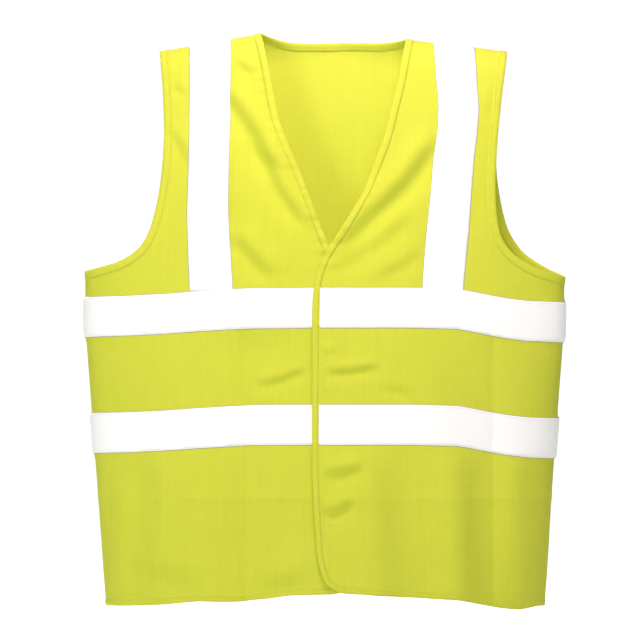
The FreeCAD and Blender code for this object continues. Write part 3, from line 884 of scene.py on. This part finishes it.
# painted light: the side that faces the wearer glows more, standing in for light through the thin
# cloth and lifting it out of the shade inside the vest
inside_painted_glow_finish = knit_material("cloth_knit_inside", YELLOW, 1.0 * MM, 0.8 * MM, painted_glow=0.13)
binding_finish = knit_material("binding_knit", shaded(YELLOW, (1.0, 0.985, 1.0)),
                               0.7 * MM, 0.9 * MM, 0.72, 0.3)
seam_finish = knit_material("seam_knit", shaded(YELLOW, (0.97, 0.97, 0.95)),
                            0.9 * MM, 0.8 * MM, 0.8)
tape_finish = tape_material("reflective_tape")
backing_finish = fibre_material("tape_backing", (0.50, 0.50, 0.40), 0.8, 0.1, 700.0)
yellow_thread = fibre_material("yellow_thread", (0.74, 0.75, 0.09), 0.55)
white_thread = fibre_material("white_thread", (0.84, 0.84, 0.83), 0.55)
hook_finish = fibre_material("hook_plastic", (0.66, 0.70, 0.10), 0.42, 0.0, 300.0)
loop_finish = fibre_material("loop_pile", (0.70, 0.72, 0.09), 0.85, 0.6)
label_finish = fibre_material("label_satin", (0.88, 0.88, 0.86), 0.4, 0.4, 1500.0)


def finish(obj, material, slot_name):
    obj.data.materials.clear()
    obj.data.materials.append(material)


# ===== pieces

ROOT = "back_and_sides"


def bends(obj, side):
    """Bakes a front piece's transform into its mesh; it stays where it is."""
    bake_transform(obj)


STEP = 3.2 * MM
TAPE_STEP, BACKING_STEP = 4 * MM, 5 * MM
CLOTH_THICK, TAPE_THICK, BACKING_THICK = 0.7 * MM, 0.45 * MM, 0.3 * MM
LIFT = PLY / 2
extras = {on: [] for on in FACE}


def hold(obj, owner, nodes):
    """A piece rides on the root, or is baked in place with its front; nodes are what it replaces.
    """
    if owner == "back":
        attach(obj, ROOT)
    else:
        bends(obj, owner)
    if nodes:
        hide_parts(*nodes)


def add(obj, material, slot_name, owner, *nodes):
    """Finish a piece, hold it, and note which cloth it goes with."""
    finish(obj, material, slot_name)
    hold(obj, owner, nodes)
    extras[owner].append(obj)


def sew(name, rows, lift, on, thread=yellow_thread, **shape):
    add(stitches(name, rows, lift, on, **shape), thread, "seams", on)


left, right = (arm_edge(BACK_ARM[side], side) for side in SIGN)
OUTLINES = {"back": joined(right, back_hem_edge(), left[::-1], back_neck_edge())}
for side in SIGN:
    OUTLINES[side] = between(front_edge(side), arm_edge(FRONT_ARM[side], side))
cloths = {}
for on in FACE:
    name, nodes = "back_cloth", ["back_panel"]
    if on != "back":
        name, nodes = f"{on}_front_cloth", [f"{on}_front_side", f"{on}_front_flap"]
    cloth = patch(name, OUTLINES[on], STEP, on, LIFT, CLOTH_THICK)
    finish(cloth, cloth_finish, "cloth")
    # the side that faces the wearer gets the knit with the stronger painted glow
    line_inside(cloth, inside_painted_glow_finish)
    hold(cloth, on, nodes)
    cloths[on] = cloth

# ----- reflective tapes

SIDE_END = 302
TAPE_MARGIN = 2.2
BACKING_SHOWS = 0.7


def band_lines(top, on, x_from, x_to, grow=0.0, sewn=False):
    """Upper and lower edge of a band, moved outwards; x_from and x_to each have a place for both.

    A row of stitches stops short of the seams and of the tape's ends.
    """
    for drop, start, end in zip((top - grow, top + TAPE + grow), x_from, x_to):
        if sewn:
            start, end = max(start + 1.5, 6 - SIDE_END), min(end - 1.5, SIDE_END - 6)
        line = to_flat(level(drop, on, start, end))
        if end >= SIDE_END:
            line[-1, 0] = SIDE_S
        if start <= -SIDE_END:
            line[0, 0] = -SIDE_S
        yield line


def tape_lift(flat):
    """The tape lies on the cloth, and stands off it a little at its sewn ends."""
    return LIFT + 0.75 * MM + 1.0 * MM * smooth((np.abs(flat[:, 0]) / SIDE_S - 0.93) / 0.07)


def backing_lift(flat):
    """The grey woven backing lies just under the beads and shows along the tape's edges."""
    return tape_lift(flat) - 0.3 * MM


def tape(name, beads, backing, rows, lifts, on, *nodes):
    """Beads on a grey backing, each from its two edges, and stitches; one lift for each."""
    strip = patch(name + "_tape", between(*beads), TAPE_STEP, on, lifts[0], TAPE_THICK)
    add(strip, tape_finish, "reflective_tape", on, *nodes)
    strip = patch(name + "_backing", between(*backing), BACKING_STEP, on, lifts[1], BACKING_THICK)
    add(strip, backing_finish, "reflective_tape", on, *nodes)
    sew(name + "_stitches", rows, lifts[2], on, white_thread)


ACROSS = (-SIDE_END, -SIDE_END), (SIDE_END, SIDE_END)
# where each band stops at the front edges, against its upper and its lower edge
FRONT_ENDS = {
    ("left", "upper"): (-6.2, -6.8), ("left", "lower"): (-7.4, -7.6),
    ("right", "upper"): (15.0, 21.4), ("right", "lower"): (22.0, 22.2),
}
for name, top in (("upper", UPPER_TOP), ("lower", LOWER_TOP)):
    for on in FACE:
        start, end = ACROSS
        nodes = [f"back_{name}_band"]
        if on != "back":
            nodes = [f"{on}_front_{name}_band_{part}" for part in ("side", "flap")]
            stop = FRONT_ENDS[on, name]
            start, end = (stop, end) if on == "left" else (start, stop)
        tape(f"{on}_{name}", band_lines(top, on, start, end),
             band_lines(top, on, start, end, BACKING_SHOWS),
             band_lines(top, on, start, end, -TAPE_MARGIN, True),
             (tape_lift, backing_lift, LIFT + 1.0 * MM), on, *nodes)

# Each brace in mm: z, then how far its inner and outer edge are from the middle
BRACES = {
    "left": [(0, 126, 177), (-50, 130, 181), (-80, 133.5, 184), (-110, 133.5, 183),
             (-143, 130.5, 180.5), (-192, 128.6, 178.6), (-242, 125.3, 177.8),
             (-310, 122.2, 173.4), (-330, 122, 173)],
    "right": [(0, 129.5, 181), (-80, 128.5, 179), (-143, 127, 177), (-217, 124.5, 176),
              (-267, 120, 172.5), (-310, 115.5, 169.5), (-330, 115, 169)],
}


def brace_edges(side, inset=0.0, start=0.0):
    """Both long edges of a brace, moved inwards, from the shoulder down to the upper band."""
    rows = np.array(BRACES[side], float)
    z = np.linspace(0, -(UPPER_TOP + 4), 60)
    for column, off in ((1, inset), (2, -inset)):
        x = np.interp(-z, -rows[:, 0], rows[:, column]) + off
        top = RIDGE - x * MM * SLOPE
        flat = to_flat(np.stack([SIGN[side] * x * MM, top + (z / z[-1]) * (z[-1] * MM - top)], 1))
        flat[0, 1] = start
        yield flat


SEAM_BITE = 4 * MM  # the beads stop this short of the shoulder seam
for side in SIGN:
    for where, on in (("front", side), ("back", "back")):
        name = f"{side}_{where}_brace"
        tape(name, brace_edges(side, 0, SEAM_BITE), brace_edges(side, -BACKING_SHOWS),
             (edge[2:-3] for edge in brace_edges(side, TAPE_MARGIN)),
             (LIFT + 0.7 * MM, LIFT + 0.45 * MM, LIFT + 0.95 * MM), on, name)

# ----- bindings, each with its row of stitches


def front_width(z):
    """Front edgings are narrower down the front and along the hem than at the neck."""
    return np.interp(z, [-0.70, -0.66, -0.30, -0.10], [6.5 * MM, 7.0 * MM, 7.5 * MM, 9.0 * MM])


def edging(name, edge, on, target, width, *nodes):
    """A binding, and the stitches seen on both its sides; target is a place on the cloth."""
    strip, edge, inward, width = binding(name, edge, on, to_flat([target])[0], width)
    add(strip, binding_finish, "binding", on, *nodes)
    row = march(edge, on, inward, width * 0.8)
    for part, outwards in (("outer", 1), ("inner", -1)):
        sew(f"{name}_{part}_row", [row], 1.25 * MM + outwards * PLY / 2, on, outwards=outwards)


for side in SIGN:
    edging(side + "_front_edging", front_edge(side), side, [SIGN[side] * 0.15, -0.4],
           front_width, side + "_front_binding", side + "_front_hem_binding")
    for where, on, points in (("front", side, FRONT_ARM[side]), ("back", "back", BACK_ARM[side])):
        edging(f"{side}_{where}_arm_edging", arm_edge(points, side), on,
               [SIGN[side] * 0.12, -0.4], BINDING, side + "_armhole_binding")
edging("back_neck_edging", back_neck_edge(), "back", [0, -0.2], BINDING, "neck_binding")
edging("back_hem_edging", back_hem_edge(), "back", [0, -0.4], HEM_BINDING, "back_hem_binding")

# ----- seams: allowances turned inwards, overlocked, and top-stitched on the back

ALLOWANCE = 9 * MM
SEAM_LIFT = -0.35 * MM
SIDE_SEAM = -0.326, -0.700  # the heights of its ends
SHOULDER_SEAM = 99 * MM, 209 * MM  # how far out its ends are
SIDE_DEPTH = 0.09  # metres of cloth to one radian round the side, about
OVERLOCK_S = 0.009
down = np.linspace(*to_flat([[HALF_CHEST, z] for z in SIDE_SEAM])[:, 1], 60)
for side in SIGN:
    sign = SIGN[side]
    run = np.linspace(*to_flat([[sign * x, RIDGE - x * SLOPE] for x in SHOULDER_SEAM])[:, 0], 40)
    outline = between(columns(run, 0.8 * MM), columns(run, ALLOWANCE))
    for where, on in (("front", side), ("back", "back")):
        flap = patch(f"{side}_shoulder_seam_{where}", outline, 3 * MM, on, SEAM_LIFT, 0.5 * MM)
        add(flap, seam_finish, "seams", "back", side + "_shoulder_seam")
    sew(side + "_shoulder_stitches", [columns(run, 4.5 * MM)], LIFT + 0.4 * MM, "back")
    raw = columns(sign * (SIDE_S - ALLOWANCE / SIDE_DEPTH * SCALE_S), down)
    outline = between(columns(sign * (SIDE_S - 0.4 * MM), down), raw)
    flap = patch(side + "_side_seam_flap", outline, 3 * MM, "back", SEAM_LIFT, 0.5 * MM)
    add(flap, seam_finish, "seams", "back", side + "_side_seam")
    threads = overlock(side + "_side_overlock", raw, sign * OVERLOCK_S, 0.75 * MM, "back", -1)
    add(threads, yellow_thread, "seams", "back")

# ----- touch fastener: hooks inside the left front, loops outside the right front

TAB_LOW_X, TAB_HIGH_X = -3 * MM, 19 * MM
TAB_DROPS = [340, 424, 508, 592]
TAB_TALL = 40 * MM
TAB_CORNER = 3 * MM
TAB_SEWING = {"length": 2.2 * MM, "pitch": 2.8 * MM}


def tab_sides(middle, inset):
    """Low and high x, then low and high z of a tab, moved inwards."""
    low, high = -middle * MM - TAB_TALL / 2, -middle * MM + TAB_TALL / 2
    return TAB_LOW_X + inset, TAB_HIGH_X - inset, low + inset, high - inset


def tab_outline(middle, inset=0.0):
    """Rectangle with round corners, in the flat pattern."""
    x0, x1, z0, z1 = tab_sides(middle, inset)
    corner = max(TAB_CORNER - inset, 0.8 * MM)
    points = []
    for cx, cz, start in ((x1 - corner, z1 - corner, 0), (x0 + corner, z1 - corner, 90),
                          (x0 + corner, z0 + corner, 180), (x1 - corner, z0 + corner, 270)):
        for turn in np.radians(start + np.linspace(0, 90, 6)):
            points.append((cx + corner * math.cos(turn), cz + corner * math.sin(turn)))
    return to_flat(points)


def fastener(name, on, outwards, base_lift, shape, pitch, jitter, thread, seed, *rest):
    """Four sewn tabs: a backing each, covered in small hooks or loops.

    Rest is the material, the slot (not used), the owner and the CAD node.
    """
    rng = np.random.default_rng(seed)
    rows, paths, planes = [], [], []
    for index, middle in enumerate(TAB_DROPS):
        base = patch(f"{name}_backing_{index + 1}", tab_outline(middle), 2 * MM, on,
                     base_lift, 0.5 * MM)
        add(base, *rest)
        ring = tab_outline(middle, 1.5 * MM)
        rows.append(joined(ring, [ring[0]]))
        x0, x1, z0, z1 = tab_sides(middle, 2.6 * MM)
        grid = np.stack(np.meshgrid(np.arange(x0, x1, pitch), np.arange(z0, z1, pitch * 1.15)), 2)
        grid = grid.reshape(-1, 2)
        flat = to_flat(grid + rng.uniform(-jitter, jitter, grid.shape))
        points, normals, ds, dv = place(flat, on)
        turn = rng.uniform(-0.5, 0.5, len(flat))[:, None] * (jitter > 0)
        lean = unit(dv) * np.cos(turn) + unit(ds) * np.sin(turn)
        start = points + normals * (base_lift + outwards * 0.2 * MM)
        path = [start + lean * a * MM + normals * outwards * h * MM for a, h in shape]
        paths.append(np.stack(path, 1))
        planes.append(np.cross(lean, normals))
    field = tubes(name + "_field", np.concatenate(paths), np.concatenate(planes), thread, 4)
    add(field, *rest)
    sew(name + "_stitches", rows, abs(base_lift) + 0.3 * MM, on, **TAB_SEWING, outwards=outwards)
    return rows


HOOK = [(0, 0), (0, 0.45), (0.12, 0.75), (0.4, 0.85), (0.6, 0.62)]
LOOP = [(-0.4, 0), (-0.5, 0.5), (-0.22, 0.85), (0.22, 0.85), (0.5, 0.5), (0.4, 0)]
hook_rows = fastener("hooks", "left", -1, -0.35 * MM, HOOK, 1.5 * MM, 0.0, 0.13 * MM, 5,
                     hook_finish, "hook", "left", "hook_tabs")
fastener("loops", "right", 1, PLY + 0.3 * MM, LOOP, 1.25 * MM, 0.35 * MM, 0.12 * MM, 7,
         loop_finish, "loop", "right", "loop_tabs")
# the hook tabs' sewing shows through on the outside of the over front
sew("hooks_sewn_through", hook_rows, LIFT + 0.4 * MM, "left", **TAB_SEWING)

# ----- blank care label inside the back, sewn in at the left side seam

label_low, label_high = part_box("care_label")
label_x = np.linspace(label_low.x, label_high.x, 16)
label_outline = to_flat(between(columns(label_x, label_low.z), columns(label_x, label_high.z)))


def label_lift(ply):
    """Each ply hangs freer of the back, and of the other, away from the seam."""
    inner_s, outer_s = to_flat([[label_low.x, label_low.z], [label_high.x, label_low.z]])[:, 0]

    def lift(flat):
        free = np.clip((outer_s - flat[:, 0]) / (outer_s - inner_s), 0, 1)
        return -(0.5 + 0.35 * ply) * MM - 1.6 * MM * free ** 2 - 0.4 * ply * MM * free
    return lift


for ply in (0, 1):
    piece = patch(f"care_label_ply_{ply + 1}", label_outline, 2.5 * MM, "back",
                  label_lift(ply), 0.25 * MM)
    add(piece, label_finish, "label", "back", "care_label")

# ----- how large each cloth was cut


def cut_size(polygon):
    """Width, length and area of a cloth laid flat, in metres."""
    pattern = cloth_uv(resample(joined(polygon, [polygon[0]]), 2 * MM))
    x, y = pattern[:, 0], pattern[:, 1]
    area = abs(np.dot(x, np.roll(y, 1)) - np.dot(y, np.roll(x, 1))) / 2
    return float(np.ptp(x)), float(np.ptp(y)), float(area)


for on, cloth in cloths.items():
    width, length, area = cut_size(OUTLINES[on])
    print("cut size", on, round(width, 3), round(length, 3), round(area, 4))
    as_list(extras[on][:24])


# ===== stage

FLOOR_GAP = 0.09


def seen_or_lighting(tree, seen, lighting):
    """One value for what the camera sees directly, another for the light it casts."""
    rays = tree.nodes.new("ShaderNodeLightPath").outputs["Is Camera Ray"]
    value = tree.nodes.new("ShaderNodeMapRange")
    return fill(tree, value, To_Min=lighting, To_Max=seen, Value=rays).outputs["Result"]


def stage_floor():
    """Plain pale floor under the hanging vest."""
    floor_z = HEM_Z - FLOOR_GAP
    verts = [(x, y, floor_z) for x, y in ((-40, -40), (40, -40), (40, 40), (-40, 40))]
    obj = mesh_object("floor", verts, [(0, 1, 2, 3)])
    material, tree, shader = principled("floor_white", (0.92,) * 3, 0.9, Emission_Color=(*WHITE, 1))
    fill(tree, shader, Emission_Strength=seen_or_lighting(tree, 0.85, 0.07))
    obj.data.materials.append(material)
    obj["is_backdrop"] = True


def area_light(name, place_at, target, size, power, color=WHITE):
    data = bpy.data.lights.new(name, "AREA")
    data.shape = "RECTANGLE"
    data.size, data.size_y = size
    data.energy = power
    data.color = color
    light = bpy.data.objects.new(name, data)
    light.location = place_at
    light.rotation_euler = (Vector(target) - Vector(place_at)).to_track_quat("-Z", "Y").to_euler()
    scene.collection.objects.link(light)


stage_floor()
area_light("key", (0.05, -0.58, 0.54), (0.0, 0, -0.22), (0.35, 0.25), 7.7, (1.0, 0.78, 0.84))
area_light("front", (0.3, -3.2, 0.2), (0, 0, -0.35), (0.8, 0.8), 9, (0.97, 1.0, 0.97))
area_light("side", (-1.3, -1.9, 0.1), (0, 0, -0.4), (0.5, 0.5), 9.5, (0.97, 1.0, 0.97))
area_light("behind", (-0.9, 1.6, 1.0), (0, 0, -0.2), (0.8, 0.8), 26)
world = bpy.data.worlds.new("soft_white")
world.use_nodes = True
tree = world.node_tree
tint = tree.nodes.new("ShaderNodeCombineColor")
fill(tree, tint, Red=seen_or_lighting(tree, 1.0, 0.94), Green=1.0,
     Blue=seen_or_lighting(tree, 1.0, 0.85))
fill(tree, tree.nodes["Background"], Color=tint.outputs["Color"],
     Strength=seen_or_lighting(tree, 1.05, 0.3))
scene.world = world
scene.view_settings.view_transform = "Standard"

# The camera looks straight ahead, as in the photo: far off, with a long lens.
SENSOR, DISTANCE, FRAME_WIDTH = 36, 7.0, 0.8
FRONT_INSET = 0.055  # the plane that fills the frame, behind the front of the CAD box
AIM_X, AIM_Z = -0.006, 0.002
low, high = cad_bounds
camera_data = bpy.data.cameras.new("camera")
camera_data.sensor_width = SENSOR
camera_data.lens = SENSOR * DISTANCE / FRAME_WIDTH
camera_data.clip_end = 50
camera = bpy.data.objects.new("camera", camera_data)
camera.location = (AIM_X, low[1] + FRONT_INSET - DISTANCE, (low[2] + high[2]) / 2 + AIM_Z)
camera.rotation_euler = (math.pi / 2, 0, 0)
scene.collection.objects.link(camera)
bpy.context.scene.camera = camera

both = {"cad": cad_bounds, "visual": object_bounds()}
{key: [[float(c) for c in corner] for corner in pair] for key, pair in both.items()}
